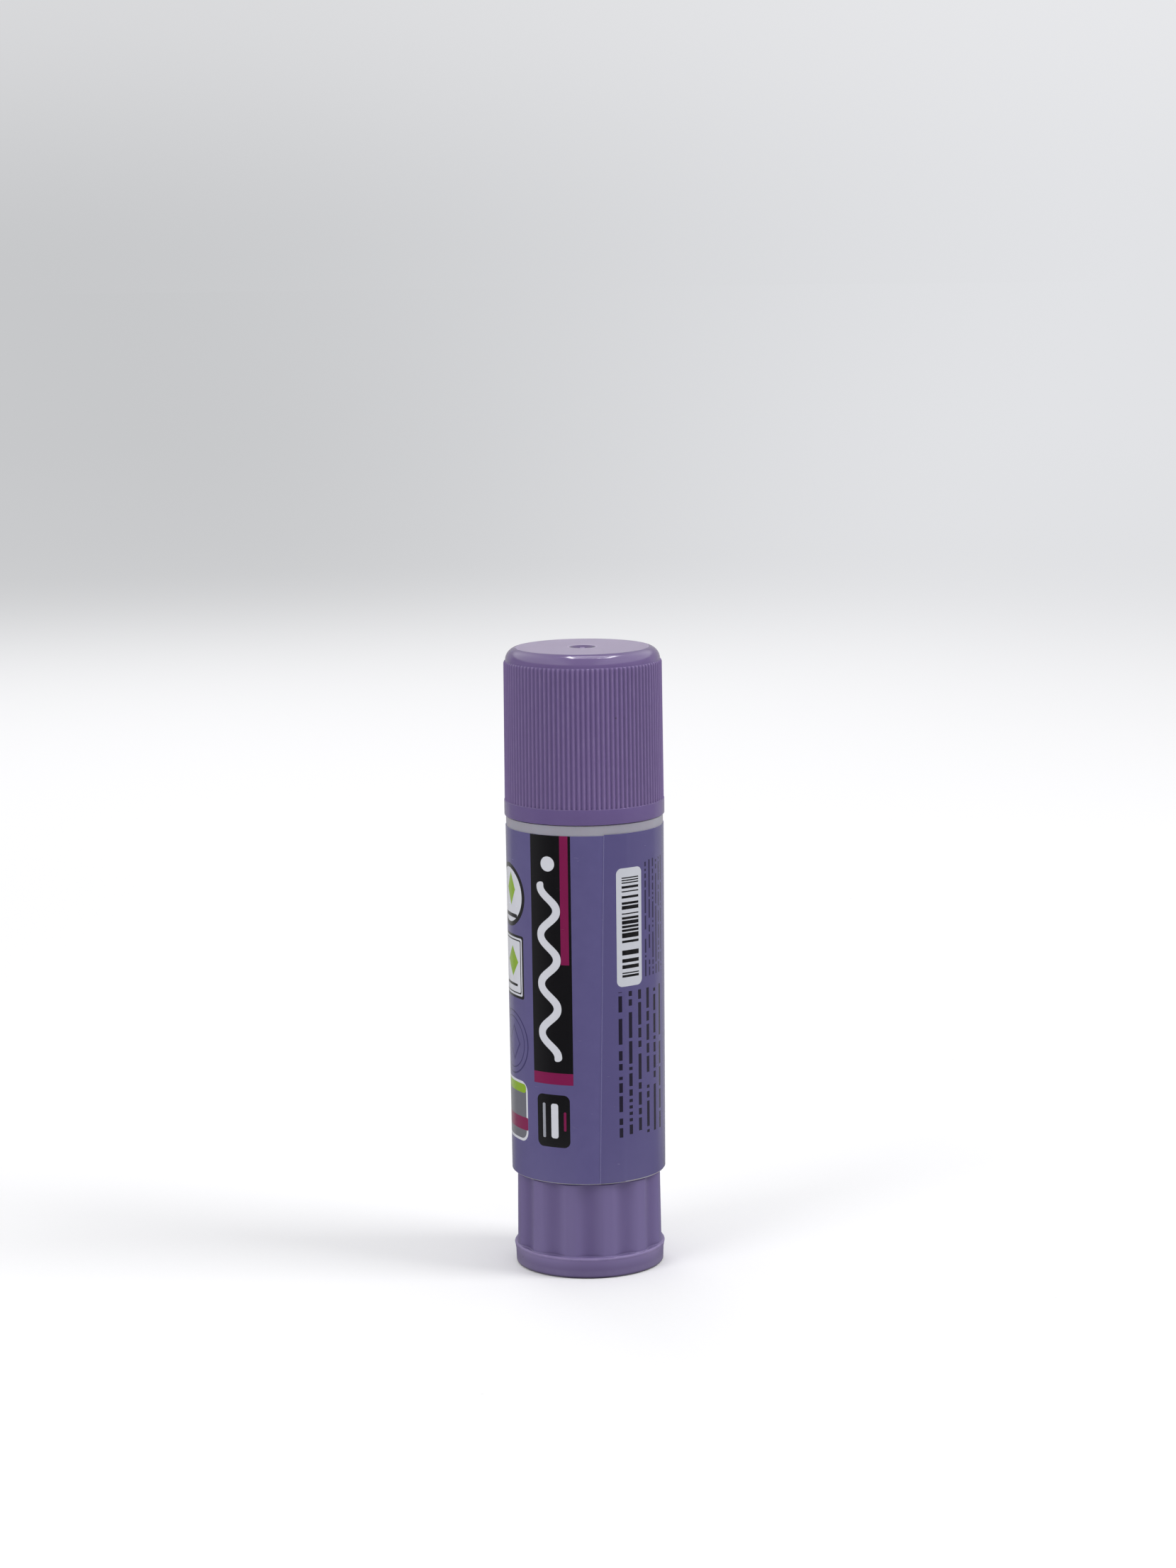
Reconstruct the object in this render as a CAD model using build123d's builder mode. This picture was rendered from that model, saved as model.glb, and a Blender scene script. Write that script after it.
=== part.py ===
from build123d import *
import os
from math import degrees, floor

# A twist-up glue stick with its cap on, standing on its turning base.
# Millimetres, +Z up along the axis, origin on the floor under the axis, front towards -Y.
# Radii are built outwards from the bore and heights upwards from the floor.

# The bore that the glue slides in, and the thread of the lead screw on its axis
bore_radius = 10.15
thread_lead = 6.0
thread_height = 0.8
thread_root_width = 1.9
thread_crest_width = 1.1
thread_clearance = 0.2
thread_sink = 0.3

# Turning base
flange_height = 3.3
flange_lip_height = 1.2
flange_foot_width = 0.07
flange_waist_width = 0.14
flange_lip_width = 0.36
flange_foot_round = 0.35
flange_lip_round = 0.22
grip_height = 11.35
grip_step = 0.56
grip_draft = 0.13
flute_count = 12
flute_depth = 0.7
flute_radius = 3.1
flute_edge_round = 0.45
base_wall = 1.25
base_floor = 1.6
base_recess_depth = 0.6
base_recess_rim = 2.2
web_count = 6
web_thickness = 0.9
web_setback = 3.0
boss_radius = 4.0
boss_gap = 0.15
plug_flat_radius = 2.2
plug_fit = 0.02
plug_tip_gap = 0.3
plug_seat_thickness = 2.6
gate_dimple_radius = 1.6
gate_dimple_depth = 0.3

# Barrel
running_gap = 0.25
foot_socket_depth = 2.6
foot_socket_wall = 1.3
spigot_height = 2.1
spigot_clearance = 0.2
barrel_floor_thickness = 1.5
barrel_length = 55.4
barrel_foot_wall = 1.61
barrel_top_wall = 1.85
barrel_edge_round = 0.12
neck_height = 21.7
neck_wall = 0.95
neck_rim_round = 0.25
snap_bead_height = 0.07
snap_bead_radius = 0.5
snap_bead_rise = 3.6
guide_rib_count = 4
guide_rib_angle = 45.0
guide_rib_height = 0.45
guide_rib_width = 1.2
guide_rib_clearance = 0.15
guide_rib_setback = 2.0

# Label film
label_thickness = 0.07
label_adhesive = 0.03
label_foot_inset = 0.15
label_top_inset = 1.4
label_lap = 2.5
label_seam_angle = 11.0

# Spindle, whose round core has its own seam turned away from where the thread starts
spindle_core_radius = 2.6
spindle_seam_angle = 75.0
spindle_tip_round = 0.6
journal_radius = 3.2
journal_clearance = 0.08
collar_radius = 5.2
collar_thickness = 1.3
collar_gap = 0.1
thread_lead_in = 0.5
thread_run_out = 0.8

# Carrier
carrier_rest_gap = 3.9
carrier_clearance = 0.15
carrier_floor = 1.4
carrier_wall = 0.9
carrier_height = 7.0
carrier_lip_round = 0.3
hub_wall = 1.3
hub_height = 8.0

# Glue
glue_clearance = 0.2
glue_cast_gap = 0.04
glue_rim_gap = 0.8
glue_crown = 4.2
glue_tip_gap = 1.5
glue_screw_gap = 0.4
glue_edge_round = 0.7

# Cap
cap_seat_gap = 0.1
cap_bore_clearance = 0.1
cap_wall = 0.72
cap_headroom = 2.8
cap_top_wall = 1.2
cap_shoulder_round = 1.95
cap_band_height = 2.35
cap_band_proud = 0.06
cap_foot_round = 0.12
rib_count = 100
rib_height = 0.25
rib_radius = 0.27
seal_ring_wall = 0.7
seal_ring_reach = 1.0
seal_ring_clearance = 0.1
cap_dimple_radius = 2.1
cap_dimple_depth = 0.45
gate_nub_radius = 0.4
gate_nub_height = 0.3

# How far a cutter runs past what it cuts, and how near two levels count as one
overrun = 1.0
same_level = 0.001

front_angle = -90.0

# Levels, from the floor up
grip_top = flange_height + grip_height
spigot_top = grip_top + spigot_height
barrel_foot = grip_top + running_gap
barrel_floor_foot = barrel_foot + foot_socket_depth
barrel_floor_top = barrel_floor_foot + barrel_floor_thickness
shoulder_level = barrel_foot + barrel_length
rim_level = shoulder_level + neck_height
label_foot = barrel_foot + label_foot_inset
label_top = shoulder_level - label_top_inset
boss_top = barrel_floor_foot - boss_gap
plug_seat = base_floor + plug_seat_thickness
collar_foot = barrel_floor_top + collar_gap
collar_top = collar_foot + collar_thickness
thread_foot = collar_top + thread_lead_in
carrier_foot = collar_top + carrier_rest_gap
carrier_floor_top = carrier_foot + carrier_floor
carrier_top = carrier_foot + carrier_height
hub_top = carrier_foot + hub_height
cap_foot = shoulder_level + cap_seat_gap
cap_band_top = cap_foot + cap_band_height
cap_ceiling = rim_level + cap_headroom
cap_top = cap_ceiling + cap_top_wall
seal_ring_foot = rim_level - seal_ring_reach
guide_rib_top = seal_ring_foot - guide_rib_setback
glue_top = seal_ring_foot - glue_rim_gap
spindle_top = glue_top - glue_crown
screw_hole_top = spindle_top + glue_tip_gap

# Radii, from the axis out
thread_radius = spindle_core_radius + thread_height
nut_bore_radius = spindle_core_radius + thread_clearance
nut_groove_radius = thread_radius + thread_clearance
hub_radius = nut_groove_radius + hub_wall
screw_hole_radius = thread_radius + glue_screw_gap
journal_hole_radius = journal_radius + journal_clearance
guide_rib_radius = bore_radius - guide_rib_height
carrier_radius = bore_radius - carrier_clearance
cup_radius = carrier_radius - carrier_wall
glue_radius = bore_radius - glue_clearance
seal_ring_radius = bore_radius - seal_ring_clearance
neck_radius = bore_radius + neck_wall
barrel_foot_radius = bore_radius + barrel_foot_wall
barrel_top_radius = bore_radius + barrel_top_wall
foot_socket_radius = barrel_foot_radius - foot_socket_wall
spigot_radius = foot_socket_radius - spigot_clearance
grip_top_radius = barrel_foot_radius - grip_step
grip_foot_radius = grip_top_radius + grip_draft
base_inner_radius = grip_top_radius - flute_depth - base_wall
base_foot_radius = grip_foot_radius + flange_foot_width
cap_bore_radius = neck_radius + cap_bore_clearance
cap_root_radius = cap_bore_radius + cap_wall
rib_crest_radius = cap_root_radius + rib_height
cap_band_radius = rib_crest_radius + cap_band_proud


def rings_at(piece, level):
    """The round edges of a piece that lie at one level, the smallest first."""
    rings = piece.edges().filter_by(GeomType.CIRCLE)
    rings = rings.filter_by_position(Axis.Z, level - same_level, level + same_level)
    return rings.sort_by(SortBy.RADIUS)


def outline(*points, plane=Plane.XZ):
    """A closed outline of straight sides, given as radius and height, to be turned round the axis."""
    with BuildSketch(plane) as section:
        with BuildLine():
            Polyline(*points, close=True)
        make_face()
    return section.sketch


def screw_thread(foot, top, inner_radius, outer_radius, root_width, crest_width, mode=Mode.ADD):
    """A left-handed thread on the axis, so that a base turned clockwise from below lifts the nut."""
    with BuildLine() as lead:
        Helix(
            pitch=thread_lead,
            height=top - foot,
            radius=inner_radius,
            center=(0, 0, foot),
            lefthand=True,
        )
    ridge = outline(
        (inner_radius, foot - root_width / 2),
        (outer_radius, foot - crest_width / 2),
        (outer_radius, foot + crest_width / 2),
        (inner_radius, foot + root_width / 2),
    )
    sweep(ridge, path=lead.line, is_frenet=True, mode=mode)


def guide_slots(foot, top):
    """Cuts the slots that ride on the barrel's guide ribs."""
    slot_floor_radius = guide_rib_radius - guide_rib_clearance
    with BuildSketch(Plane.XY.offset(foot)) as slots:
        with PolarLocations(slot_floor_radius, guide_rib_count, start_angle=guide_rib_angle):
            Rectangle(
                bore_radius + overrun - slot_floor_radius,
                guide_rib_width + 2 * guide_rib_clearance,
                align=(Align.MIN, Align.CENTER),
            )
    extrude(slots.sketch, amount=top - foot, mode=Mode.SUBTRACT)


def fluted_section(level, land_radius):
    """The grip's cross section at one level, with a flute facing the front."""
    with BuildSketch(Plane.XY.offset(level)) as section:
        Circle(land_radius)
        flute_axis_radius = land_radius - flute_depth + flute_radius
        with PolarLocations(flute_axis_radius, flute_count, start_angle=front_angle):
            Circle(flute_radius, mode=Mode.SUBTRACT)
        fillet(section.vertices(), radius=flute_edge_round)
    return section.sketch.face()


# Turning base: a cup with a lipped flange, a fluted grip, a spigot inside the barrel's foot,
# and a webbed boss that holds the spindle's plug
with BuildPart() as knob:
    base_outline = outline(
        (0, 0),
        (base_foot_radius, 0),
        (grip_foot_radius + flange_waist_width, flange_height - flange_lip_height),
        (grip_foot_radius + flange_lip_width, flange_height),
        (0, flange_height),
    )
    revolve(base_outline, axis=Axis.Z)
    fillet(rings_at(knob, flange_height), radius=flange_lip_round)
    fillet(rings_at(knob, 0), radius=flange_foot_round)
    grip_foot_section = fluted_section(flange_height, grip_foot_radius)
    grip_top_section = fluted_section(grip_top, grip_top_radius)
    loft([grip_foot_section, grip_top_section], ruled=True)
    with BuildSketch(Plane.XY.offset(grip_top)):
        Circle(spigot_radius)
    extrude(amount=spigot_height)
    with BuildSketch(Plane.XY.offset(base_floor)):
        Circle(base_inner_radius)
    extrude(amount=spigot_top + overrun - base_floor, mode=Mode.SUBTRACT)
    with BuildSketch(Plane.XY.offset(base_floor)):
        with PolarLocations(0, web_count):
            Rectangle(
                base_inner_radius + base_wall / 2,
                web_thickness,
                align=(Align.MIN, Align.CENTER),
            )
    extrude(amount=grip_top - web_setback - base_floor)
    with BuildSketch(Plane.XY.offset(base_floor)):
        Circle(boss_radius)
    extrude(amount=boss_top - base_floor)
    with BuildSketch(Plane.XY.offset(plug_seat)):
        RegularPolygon(plug_flat_radius + plug_fit, side_count=6, major_radius=False)
    extrude(amount=boss_top + overrun - plug_seat, mode=Mode.SUBTRACT)
    with BuildSketch():
        Circle(base_foot_radius - base_recess_rim)
    extrude(amount=base_recess_depth, mode=Mode.SUBTRACT)
    with BuildSketch(Plane.XY.offset(base_recess_depth)):
        Circle(gate_dimple_radius)
    extrude(amount=gate_dimple_depth, mode=Mode.SUBTRACT)
knob.part.label = "knob"

# Spindle: a plug driven into the base, a journal in the barrel's floor, a collar above it,
# and the lead screw
with BuildPart() as spindle:
    spindle_outline = outline(
        (0, boss_top),
        (journal_radius, boss_top),
        (journal_radius, collar_foot),
        (collar_radius, collar_foot),
        (collar_radius, collar_top),
        (spindle_core_radius, collar_top),
        (spindle_core_radius, spindle_top),
        (0, spindle_top),
        plane=Plane.XZ.rotated((0, 0, spindle_seam_angle)),
    )
    revolve(spindle_outline, axis=Axis.Z)
    fillet(rings_at(spindle, spindle_top), radius=spindle_tip_round)
    screw_thread(
        thread_foot,
        spindle_top - thread_run_out,
        spindle_core_radius - thread_sink,
        thread_radius,
        thread_root_width,
        thread_crest_width,
    )
    with BuildSketch(Plane.XY.offset(plug_seat + plug_tip_gap)):
        RegularPolygon(plug_flat_radius, side_count=6, major_radius=False)
    extrude(amount=boss_top - plug_seat - plug_tip_gap)
spindle.part.label = "spindle"

# Barrel: a drafted tube with a floor near its foot, a narrower neck for the cap, and guide ribs
with BuildPart() as barrel:
    barrel_outline = outline(
        (journal_hole_radius, barrel_floor_foot),
        (foot_socket_radius, barrel_floor_foot),
        (foot_socket_radius, barrel_foot),
        (barrel_foot_radius, barrel_foot),
        (barrel_top_radius, shoulder_level),
        (neck_radius, shoulder_level),
        (neck_radius, rim_level),
        (bore_radius, rim_level),
        (bore_radius, barrel_floor_top),
        (journal_hole_radius, barrel_floor_top),
    )
    revolve(barrel_outline, axis=Axis.Z)
    fillet(rings_at(barrel, rim_level), radius=neck_rim_round)
    fillet(rings_at(barrel, shoulder_level)[-1], radius=barrel_edge_round)
    fillet(rings_at(barrel, barrel_foot)[-1], radius=barrel_edge_round)
    with Locations((0, 0, shoulder_level + snap_bead_rise)):
        Torus(neck_radius + snap_bead_height - snap_bead_radius, snap_bead_radius)
    with BuildSketch(Plane.XY.offset(barrel_floor_top)):
        with PolarLocations(guide_rib_radius, guide_rib_count, start_angle=guide_rib_angle):
            Rectangle(
                guide_rib_height + neck_wall / 2,
                guide_rib_width,
                align=(Align.MIN, Align.CENTER),
            )
    extrude(amount=guide_rib_top - barrel_floor_top)
barrel.part.label = "barrel"


def film_outline(layer, plane=Plane.XZ):
    """The section of one layer of the label film on the drafted barrel, counted from the barrel out."""
    draft = (barrel_top_radius - barrel_foot_radius) / barrel_length
    inside = label_adhesive + layer * label_thickness
    foot_radius = barrel_foot_radius + draft * (label_foot - barrel_foot) + inside
    top_radius = barrel_foot_radius + draft * (label_top - barrel_foot) + inside
    return outline(
        (foot_radius, label_foot),
        (foot_radius + label_thickness, label_foot),
        (top_radius + label_thickness, label_top),
        (top_radius, label_top),
        plane=plane,
    )


# Label: a film wrapped once round the barrel, its end lapped over its start right of the front
with BuildPart() as label:
    revolve(film_outline(0), axis=Axis.Z)
    seam_plane = Plane.XZ.rotated((0, 0, front_angle + label_seam_angle))
    lap_angle = degrees(label_lap / barrel_foot_radius)
    revolve(film_outline(1, seam_plane), axis=Axis.Z, revolution_arc=lap_angle)
label.part.label = "label"

# Carrier: a cup that pushes the glue, with the nut in its hub and slots for the guide ribs
with BuildPart() as carrier:
    carrier_outline = outline(
        (nut_bore_radius, carrier_foot),
        (carrier_radius, carrier_foot),
        (carrier_radius, carrier_top),
        (cup_radius, carrier_top),
        (cup_radius, carrier_floor_top),
        (hub_radius, carrier_floor_top),
        (hub_radius, hub_top),
        (nut_bore_radius, hub_top),
    )
    revolve(carrier_outline, axis=Axis.Z)
    fillet(rings_at(carrier, carrier_top), radius=carrier_lip_round)
    guide_slots(carrier_foot, carrier_top)
    turns_below = floor((carrier_foot - overrun - thread_foot) / thread_lead)
    screw_thread(
        thread_foot + turns_below * thread_lead,
        hub_top + overrun,
        nut_bore_radius - thread_sink,
        nut_groove_radius,
        thread_root_width + 2 * thread_clearance,
        thread_crest_width + 2 * thread_clearance,
        mode=Mode.SUBTRACT,
    )
carrier.part.label = "carrier"

# Glue: cast round the hub and the screw, and crowned over the screw's tip
with BuildPart() as glue:
    glue_outline = outline(
        (hub_radius + glue_cast_gap, carrier_floor_top),
        (cup_radius - glue_cast_gap, carrier_floor_top),
        (cup_radius - glue_cast_gap, carrier_top + glue_cast_gap),
        (glue_radius, carrier_top + glue_cast_gap),
        (glue_radius, glue_top),
        (0, glue_top),
        (0, screw_hole_top),
        (screw_hole_radius, screw_hole_top),
        (screw_hole_radius, hub_top + glue_cast_gap),
        (hub_radius + glue_cast_gap, hub_top + glue_cast_gap),
    )
    revolve(glue_outline, axis=Axis.Z)
    fillet(rings_at(glue, glue_top)[-1], radius=glue_edge_round)
    guide_slots(carrier_top, glue_top)
glue.part.label = "glue"

# Cap: a ribbed shell with a round shoulder, a band at its foot, a sealing ring inside,
# and a gate nub in the dimple on top
with BuildPart() as cap:
    cap_outline = outline(
        (0, cap_foot),
        (cap_band_radius, cap_foot),
        (cap_band_radius, cap_band_top),
        (cap_root_radius, cap_band_top),
        (cap_root_radius, cap_top),
        (0, cap_top),
    )
    revolve(cap_outline, axis=Axis.Z)
    fillet(rings_at(cap, cap_top), radius=cap_shoulder_round)
    fillet(rings_at(cap, cap_foot), radius=cap_foot_round)
    rib_top = cap_top - cap_shoulder_round
    with BuildSketch(Plane.XY.offset(cap_band_top)):
        Circle(cap_root_radius)
        with PolarLocations(rib_crest_radius - rib_radius, rib_count):
            Circle(rib_radius)
    extrude(amount=rib_top - cap_band_top)
    rib_tip_cutter = outline(
        (cap_root_radius, rib_top),
        (cap_root_radius + rib_height + overrun, rib_top),
        (cap_root_radius + rib_height + overrun, rib_top - rib_height - overrun),
    )
    revolve(rib_tip_cutter, axis=Axis.Z, mode=Mode.SUBTRACT)
    cap_hollow = outline(
        (0, cap_foot - overrun),
        (cap_bore_radius, cap_foot - overrun),
        (cap_bore_radius, cap_ceiling),
        (seal_ring_radius, cap_ceiling),
        (seal_ring_radius, seal_ring_foot),
        (seal_ring_radius - seal_ring_wall, seal_ring_foot),
        (seal_ring_radius - seal_ring_wall, cap_ceiling),
        (0, cap_ceiling),
    )
    revolve(cap_hollow, axis=Axis.Z, mode=Mode.SUBTRACT)
    dimple_sphere_radius = (cap_dimple_radius**2 + cap_dimple_depth**2) / (2 * cap_dimple_depth)
    dimple_floor = cap_top - cap_dimple_depth
    with Locations((0, 0, dimple_floor + dimple_sphere_radius)):
        Sphere(dimple_sphere_radius, mode=Mode.SUBTRACT)
    with BuildSketch(Plane.XY.offset(cap_ceiling)):
        Circle(gate_nub_radius)
    extrude(amount=dimple_floor + gate_nub_height - cap_ceiling)
cap.part.label = "cap"

os.makedirs("parts", exist_ok=True)
export_step(knob.part, "parts/knob.step")
export_step(spindle.part, "parts/spindle.step")
export_step(barrel.part, "parts/barrel.step")
export_step(label.part, "parts/label.step")
export_step(carrier.part, "parts/carrier.step")
export_step(glue.part, "parts/glue.step")
export_step(cap.part, "parts/cap.step")

print(f"height {cap_top:.2f}, cap band across {2 * cap_band_radius:.2f}")
print(f"barrel across {2 * barrel_top_radius:.2f} at the top, {2 * barrel_foot_radius:.2f} at the foot")
print(f"turns of thread left above the carrier {(spindle_top - hub_top) / thread_lead:.2f}")
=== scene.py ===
from math import cos, hypot, pi, radians, sin, sqrt, tau

import bmesh
import bpy
from mathutils import Matrix, Vector, noise


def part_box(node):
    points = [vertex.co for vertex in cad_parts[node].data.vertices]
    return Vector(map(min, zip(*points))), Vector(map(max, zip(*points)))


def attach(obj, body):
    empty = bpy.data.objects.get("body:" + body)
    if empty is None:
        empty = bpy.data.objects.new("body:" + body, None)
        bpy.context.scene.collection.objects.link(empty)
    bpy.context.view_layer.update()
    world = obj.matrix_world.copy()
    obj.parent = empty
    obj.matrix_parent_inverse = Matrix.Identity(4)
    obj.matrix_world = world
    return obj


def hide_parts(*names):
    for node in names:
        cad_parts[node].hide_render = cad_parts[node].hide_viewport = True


# A twist-up glue stick: violet cap and turning base, a white barrel wrapped in a printed film.
# Metres, +Z up along the axis, the front towards -Y. Angles run from the front, positive to the right.
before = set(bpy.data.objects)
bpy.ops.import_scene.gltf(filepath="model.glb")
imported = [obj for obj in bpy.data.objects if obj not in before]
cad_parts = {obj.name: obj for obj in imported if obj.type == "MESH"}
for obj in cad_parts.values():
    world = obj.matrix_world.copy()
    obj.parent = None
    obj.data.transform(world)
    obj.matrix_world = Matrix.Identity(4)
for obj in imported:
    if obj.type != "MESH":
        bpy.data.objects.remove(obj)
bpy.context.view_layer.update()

mm = 0.001

# Levels and radii that the frame gives
cap_low, cap_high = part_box("cap")
knob_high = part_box("knob")[1]
label_low, label_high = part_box("label")
barrel_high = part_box("barrel")[1]
glue_low, glue_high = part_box("glue")
cap_foot, cap_top, band_radius = cap_low.z, cap_high.z, cap_high.x
lip_radius, boss_top = knob_high.x, knob_high.z
label_foot, label_top = label_low.z, label_high.z
barrel_radius = barrel_high.x
glue_foot, glue_top, glue_radius = glue_low.z, glue_high.z, glue_high.x

# All pieces
plain_samples = 200
sharp_angle = radians(40)

# Cap: side
rib_count = 100
rib_samples = 14
cap_samples = rib_count * rib_samples
rib_height = 0.25 * mm
rib_fullness = 0.8
rib_root_radius = band_radius - 0.31 * mm
rib_tip_length = 0.45 * mm
rib_tip_gap = 0.05 * mm
cap_draft = 0.13 * mm
band_top = cap_foot + 2.35 * mm
band_foot_round = 0.12 * mm
band_edge_round = 0.09 * mm
groove_foot_round = 0.12 * mm
shoulder_round = 1.95 * mm
shoulder_radius = rib_root_radius - cap_draft
shoulder_foot = cap_top - shoulder_round

# Cap: inside
cap_bore_radius = 11.2 * mm
cap_ceiling = cap_top - 1.2 * mm
cap_ceiling_round = 0.4 * mm
cap_lead_in = 0.3 * mm
seal_ring_radius = 10.05 * mm
seal_ring_wall = 0.7 * mm
seal_ring_length = 3.8 * mm
seal_ring_chamfer = 0.15 * mm

# Cap: top
flat_radius = shoulder_radius - shoulder_round
flat_rim = 0.25 * mm
flat_rim_inner = 0.8 * mm
dimple_radius = 2.1 * mm
dimple_depth = 0.45 * mm
dimple_lip = 0.2 * mm
dimple_lip_drop = 0.01 * mm
dimple_edge_drop = 0.05 * mm
nub_radius = 0.42 * mm
nub_height = 0.32 * mm
nub_flare = 0.1 * mm
nub_flare_height = 0.08 * mm
nub_draft = 0.03 * mm
nub_chamfer = 0.12 * mm
nub_dish = 0.03 * mm
nub_dish_middle = 0.05 * mm

# Turning base: grip
flute_count = 12
flute_samples = 32
base_samples = flute_count * flute_samples
flute_depth = 0.57 * mm
flute_radius = 3.8 * mm
flute_softness = 0.52 * mm
grip_foot_radius = 11.33 * mm
grip_top_radius = 11.2 * mm
grip_foot = 3.3 * mm
grip_top = 14.65 * mm
grip_fillet = 0.22 * mm
grip_fillet_width = 0.9
grip_top_chamfer = 0.1 * mm

# Turning base: flange and foot
lip_round = 0.26 * mm
waist_level = 2.1 * mm
waist_radius = 11.47 * mm
base_foot_radius = 11.4 * mm
base_foot_round = 0.35 * mm
recess_radius = 9.2 * mm
recess_depth = 0.6 * mm
recess_corner = 0.2 * mm
recess_chamfer = 0.1 * mm
gate_radius = 1.6 * mm
gate_depth = 0.3 * mm
gate_edge = 0.1 * mm
gate_edge_height = 0.05 * mm

# Turning base: inside
spigot_radius = 10.26 * mm
spigot_top = 16.75 * mm
spigot_chamfer = 0.2 * mm
base_inner_radius = 9.25 * mm
base_floor = 1.6 * mm
boss_radius = 4.0 * mm
boss_bore_flat = 2.22 * mm
plug_seat = 4.2 * mm
web_count = 6
web_thickness = 0.9 * mm
web_top = 11.65 * mm

# Label film
film_columns = 420
film_rows = 28
film_thickness = 0.07 * mm
film_gap = 0.03 * mm
film_foot_radius = 11.76 * mm + film_gap
film_top_radius = barrel_radius + film_gap - 0.006 * mm
seam_angle = radians(11.0)
seam_slant = 1.1 * mm
film_lap = radians(17.0)
film_turn = tau + film_lap
film_ramp = radians(5.0)
film_skew = 0.15 * mm
film_foot_skew = 0.1 * mm
film_wave = 0.004 * mm
film_waves_round = 3
film_waves_up = 80

# Glue
glue_samples = 480
slot_count = 4
slot_angle = radians(45.0)
slot_width = 1.5 * mm
slot_depth = 0.45 * mm
slot_softness = 0.12 * mm
glue_shrinkage = 0.02 * mm
glue_wave = 0.02 * mm
glue_waves_round = 2
glue_waves_up = 150
glue_edge_round = 0.9 * mm
glue_sink = 0.5 * mm
glue_sink_share = 0.8
glue_unevenness = 0.25
glue_top_waves = 400
cup_radius = 9.06 * mm
cup_lip = glue_foot + 5.64 * mm
hub_radius = 4.94 * mm
hub_top = glue_foot + 6.64 * mm
screw_hole_radius = 3.8 * mm
screw_hole_top = 87.5 * mm

# Plastics: how strongly each bends light, and the height of their surface's grain
plastic_ior = 1.49
film_ior = 1.5
wax_ior = 1.45
plastic_grain = 0.004 * mm


def colour(red, green, blue):
    """A colour as it looks on a screen, 0 to 255 a channel, in the linear form that shaders take."""
    shares = [channel / 255 for channel in (red, green, blue)]
    linear = [s / 12.92 if s <= 0.04045 else ((s + 0.055) / 1.055) ** 2.4 for s in shares]
    return (*linear, 1.0)


# The label's print: the radius on which its millimetres are measured, and its inks
print_radius = 12.0
black_ink, grey_ink, white_ink = colour(19, 18, 21), colour(150, 152, 160), colour(206, 207, 214)
magenta_ink, green_ink = colour(122, 20, 72), colour(132, 166, 34)
dark_line_ink, faint_line_ink = colour(32, 28, 44), colour(44, 38, 66)
ring_ink = colour(52, 46, 92)


class Socket:
    """An output in a node tree. Arithmetic with numbers or other outputs adds Math nodes beside it."""

    def __init__(self, tree, output=None):
        self.tree = tree
        self.output = output

    def node(self, kind, settings=(), inputs=(), output=0):
        """Adds one node: its settings, then its sockets' values or links. Returns one of its outputs."""
        made = self.tree.nodes.new(kind)
        for name, value in dict(settings).items():
            setattr(made, name, value)
        for name, value in dict(inputs).items():
            if isinstance(value, Socket):
                self.tree.links.new(value.output, made.inputs[name])
            else:
                made.inputs[name].default_value = value
        return Socket(self.tree, made.outputs[output] if made.outputs else None)

    def math(self, operation, *values):
        return self.node("ShaderNodeMath", {"operation": operation}, enumerate(values))

    def __add__(self, other):
        return self.math("ADD", self, other)

    def __radd__(self, other):
        return self.math("ADD", other, self)

    def __sub__(self, other):
        return self.math("SUBTRACT", self, other)

    def __rsub__(self, other):
        return self.math("SUBTRACT", other, self)

    def __mul__(self, other):
        return self.math("MULTIPLY", self, other)

    def __truediv__(self, other):
        return self.math("DIVIDE", self, other)

    def __pow__(self, other):
        return self.math("POWER", self, other)

    def __abs__(self):
        return self.math("ABSOLUTE", self)

    def __neg__(self):
        return self.math("MULTIPLY", self, -1.0)

    def __lt__(self, other):
        return self.math("LESS_THAN", self, other)

    def lowest(self, other):
        return self.math("MINIMUM", self, other)

    def highest(self, other):
        return self.math("MAXIMUM", self, other)

    def wave(self):
        return self.math("COSINE", self)

    def floored(self):
        return self.math("FLOOR", self)

    def rise(self, low, high):
        """0 below low, 1 above high, and a smooth rise between them."""
        ends = {"From Min": low, "From Max": high}
        return self.node("ShaderNodeMapRange", {"interpolation_type": "SMOOTHSTEP"}, {"Value": self, **ends})

    def within(self, low, high, soft):
        """1 between low and high, with edges as wide as soft."""
        return self.rise(low - soft / 2, low + soft / 2) * (1 - self.rise(high - soft / 2, high + soft / 2))

    def tint(self, first, second):
        """The first colour where this is 0, the second where it is 1."""
        settings = {"data_type": "RGBA", "clamp_factor": True}
        return self.node("ShaderNodeMix", settings, {0: self, 6: first, 7: second}, output=2)

    def dice(self, seed):
        """A number from 0 to 1 that is the same wherever this value is."""
        place = self.node("ShaderNodeCombineXYZ", (), {0: self, 1: seed})
        return self.node("ShaderNodeTexWhiteNoise", {"noise_dimensions": "2D"}, {"Vector": place})


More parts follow.
